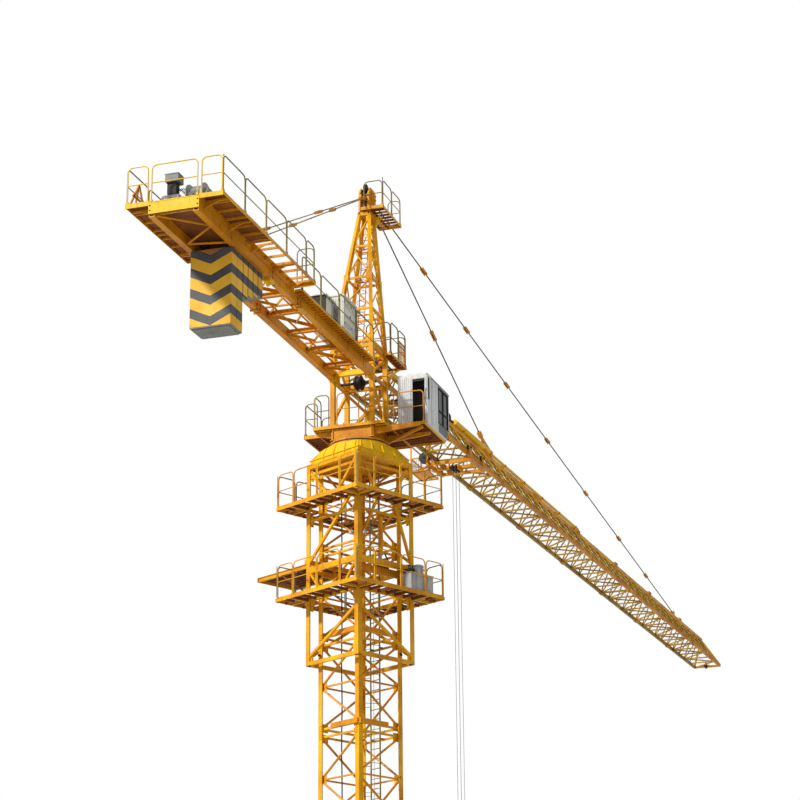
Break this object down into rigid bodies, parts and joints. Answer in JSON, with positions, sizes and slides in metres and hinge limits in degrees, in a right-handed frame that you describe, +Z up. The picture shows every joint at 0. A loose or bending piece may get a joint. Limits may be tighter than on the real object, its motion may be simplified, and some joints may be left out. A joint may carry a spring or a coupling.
{
  "type": "tower crane with a hammerhead jib, 1:2 scale model",
  "caption": "Saddle-jib tower crane: lattice mast in a climbing cage, slewing tower with cab, tower head with tie rods, long jib with trolley, counter-jib.",
  "frame": {"origin": "centre of the mast foot, on the ground face of the base frame", "axes": "+Z up the mast, +X along the jib, +Y to the jib's left"},
  "size_m": [33.8684, 3.1486, 17.59],
  "materials": {
    "yellow_paint": "satin",
    "orange_paint": "satin",
    "grey_paint": "satin",
    "cab_paint": "satin",
    "cab_glazing": "gloss",
    "dark_steel": "matte",
    "galvanised": "satin",
    "weight_paint": "matte",
    "rope_wire": "satin"
  },
  "bodies": {
    "tower": {"base_frame": "yellow_paint", "mast_section_1": "yellow_paint", "mast_section_2": "yellow_paint", "mast_section_3": "yellow_paint", "mast_section_4": "yellow_paint", "mast_section_5": "yellow_paint", "mast_section_6": "yellow_paint", "mast_section_7": "yellow_paint", "mast_section_8": "yellow_paint", "mast_section_9": "yellow_paint", "mast_ladder": "yellow_paint", "climbing_cage": "yellow_paint", "lower_platform": "yellow_paint", "upper_platform": "yellow_paint", "lower_platform_rails": "galvanised", "upper_platform_rails": "galvanised", "loading_platform": "yellow_paint", "climbing_jack": "dark_steel", "hydraulic_power_unit": "grey_paint", "slewing_base": "yellow_paint", "slewing_ring": "dark_steel"},
    "superstructure": {"slewing_platform": "yellow_paint", "slewing_rails": "galvanised", "slewing_tower": "yellow_paint", "rope_sheaves": "dark_steel", "cab_shell": "cab_paint", "cab_glass": "cab_glazing", "tower_head": "yellow_paint", "head_platforms": "yellow_paint", "head_rails": "galvanised", "counter_jib_frame": "orange_paint", "counter_jib_walkways": "orange_paint", "counter_jib_rails": "galvanised", "hoist_winch": "grey_paint", "rope_drums": "dark_steel", "rear_counterweight": "weight_paint", "front_counterweights": "weight_paint", "electric_cabinets": "grey_paint", "jib_section_1": "yellow_paint", "jib_section_2": "yellow_paint", "jib_section_3": "yellow_paint", "jib_section_4": "yellow_paint", "jib_section_5": "yellow_paint", "jib_section_6": "yellow_paint", "jib_section_7": "yellow_paint", "jib_section_8": "yellow_paint", "trolley_winch": "dark_steel", "short_jib_tie": "dark_steel", "long_jib_tie": "dark_steel", "counter_jib_ties": "dark_steel"},
    "trolley": {"trolley_frame": "yellow_paint", "trolley_wheels": "dark_steel", "trolley_basket": "yellow_paint", "hoist_ropes": "rope_wire"},
    "hook": {"hook_block": "dark_steel"}
  },
  "joints": [
    {"name": "slew", "type": "hinge", "parent": "tower", "child": "superstructure", "pos_m": [0, 0, 12.9], "axis": [0, 0, 1], "continuous": true},
    {"name": "trolley_travel", "type": "slide", "parent": "superstructure", "child": "trolley", "axis": [0.9992, 0, 0.0396], "range_m": [-2.7, 20.5]},
    {"name": "hoist", "type": "slide", "parent": "trolley", "child": "hook", "axis": [0, 0, 1], "range_m": [0, 5.2], "deforming": ["hoist_ropes"]}
  ]
}
